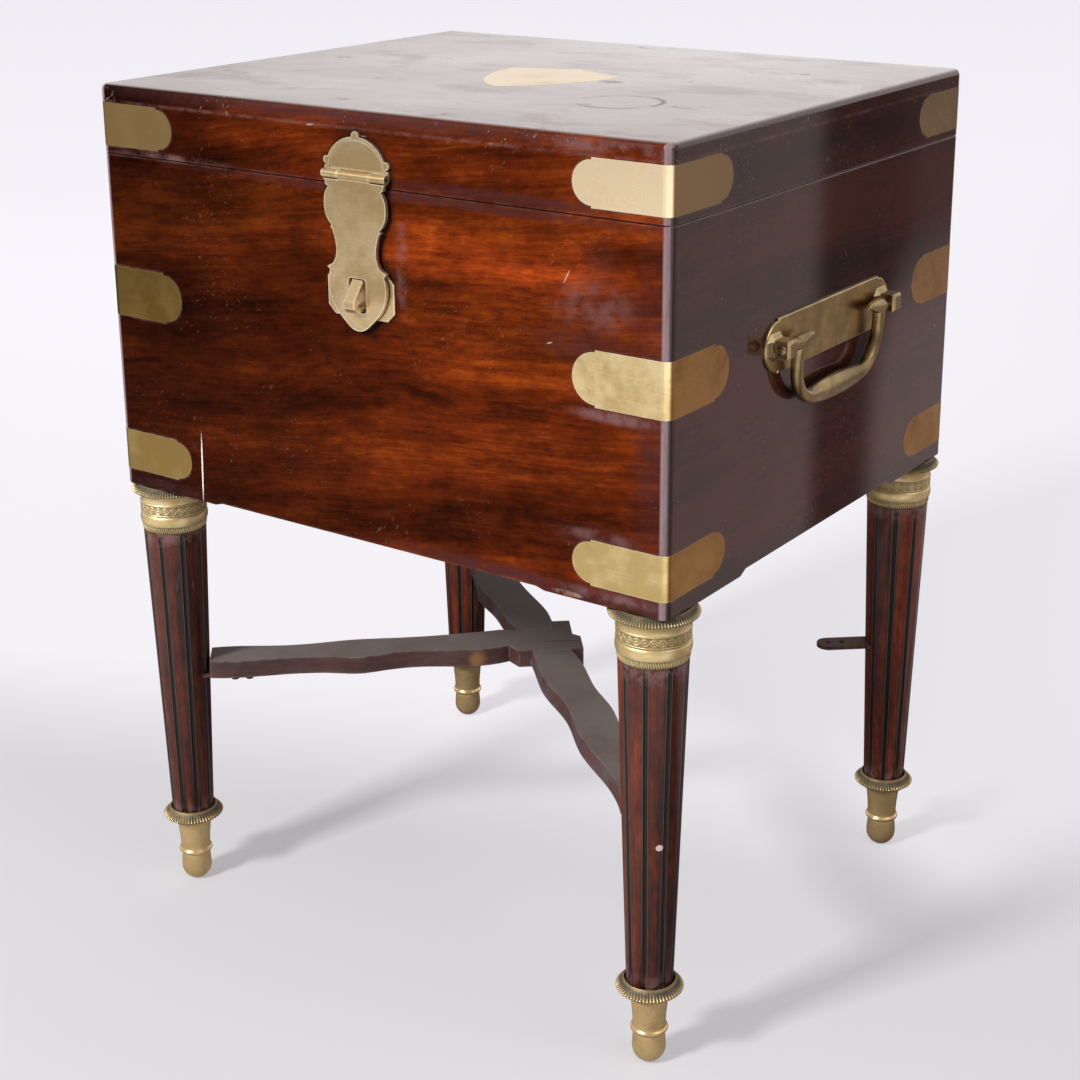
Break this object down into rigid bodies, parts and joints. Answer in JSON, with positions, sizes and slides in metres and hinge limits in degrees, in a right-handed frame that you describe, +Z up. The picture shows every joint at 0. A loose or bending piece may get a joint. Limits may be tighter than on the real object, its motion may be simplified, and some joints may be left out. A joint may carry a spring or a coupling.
{
  "type": "brass-bound dressing box on stand",
  "caption": "Brass-bound mahogany box with hinged lid, hasp, side carrying handles and partitioned inside, on fluted tapered legs with a damaged cross stretcher.",
  "frame": {"origin": "on the floor, under the middle of the whole object", "axes": "+Z up, -Y the front with the hasp, +X to the right seen from the front"},
  "size_m": [0.512, 0.4314, 0.6395],
  "materials": {
    "mahogany": "old french polish, satin, worn at the edges",
    "mahogany_dull": "dry and dusty, almost matt",
    "deal": "bare planed wood",
    "brass": "dull, toned, with bright rubbed places",
    "iron": "rusted",
    "steel": "dull",
    "velvet": "short pile",
    "mirror_glass": "slightly foxed"
  },
  "bodies": {
    "case": {"front_board": "mahogany", "back_board": "mahogany", "left_board": "mahogany", "right_board": "mahogany", "bottom_board": "deal", "corner_blocks": "deal", "middle_straps": "brass", "base_straps": "brass", "staple_plate": "brass", "staple": "brass", "handle_plate_left": "brass", "handle_posts_left": "brass", "hinge_case_leaf_left": "brass", "handle_plate_right": "brass", "handle_posts_right": "brass", "hinge_case_leaf_right": "brass", "hinge_pins": "steel", "hinge_case_screws": "steel", "leg_front_left": "mahogany", "collar_front_left": "brass", "foot_front_left": "brass", "leg_front_right": "mahogany", "collar_front_right": "brass", "foot_front_right": "brass", "leg_back_left": "mahogany", "collar_back_left": "brass", "foot_back_left": "brass", "leg_back_right": "mahogany", "collar_back_right": "brass", "foot_back_right": "brass", "stretcher_long": "mahogany_dull", "stretcher_broken": "mahogany_dull", "iron_tabs": "iron", "stretcher_screws": "iron", "partition_long": "mahogany", "partitions_front": "mahogany", "partitions_back": "mahogany", "base_lining": "velvet"},
    "lid": {"lid_panel": "mahogany", "lid_front_rim": "mahogany", "lid_back_rim": "mahogany", "lid_left_rim": "mahogany", "lid_right_rim": "mahogany", "lid_straps": "brass", "cartouche": "brass", "hasp_plate": "brass", "hasp_pin": "steel", "hinge_lid_leaf_left": "brass", "hinge_lid_leaf_right": "brass", "hinge_lid_screws": "steel", "lid_lining": "velvet", "mirror_frame": "mahogany", "mirror_glass": "mirror_glass"},
    "hasp": {"hasp_flap": "brass"},
    "handle_right": {"handle_bail_right": "brass"},
    "handle_left": {"handle_bail_left": "brass"}
  },
  "joints": [
    {"name": "lid_hinge", "type": "hinge", "parent": "case", "child": "lid", "pos_m": [0, 0.21225, 0.5902], "axis": [-1, 0, 0], "range_deg": [0, 95]},
    {"name": "hasp_hinge", "type": "hinge", "parent": "lid", "child": "hasp", "pos_m": [0, -0.20515, 0.597], "axis": [-1, 0, 0], "range_deg": [0, 150]},
    {"name": "handle_right_swing", "type": "hinge", "parent": "case", "child": "handle_right", "pos_m": [0.25, 0.00325, 0.4893], "axis": [0, -1, 0], "range_deg": [0, 180]},
    {"name": "handle_left_swing", "type": "hinge", "parent": "case", "child": "handle_left", "pos_m": [-0.25, 0.00325, 0.4893], "axis": [0, 1, 0], "range_deg": [0, 180]}
  ]
}
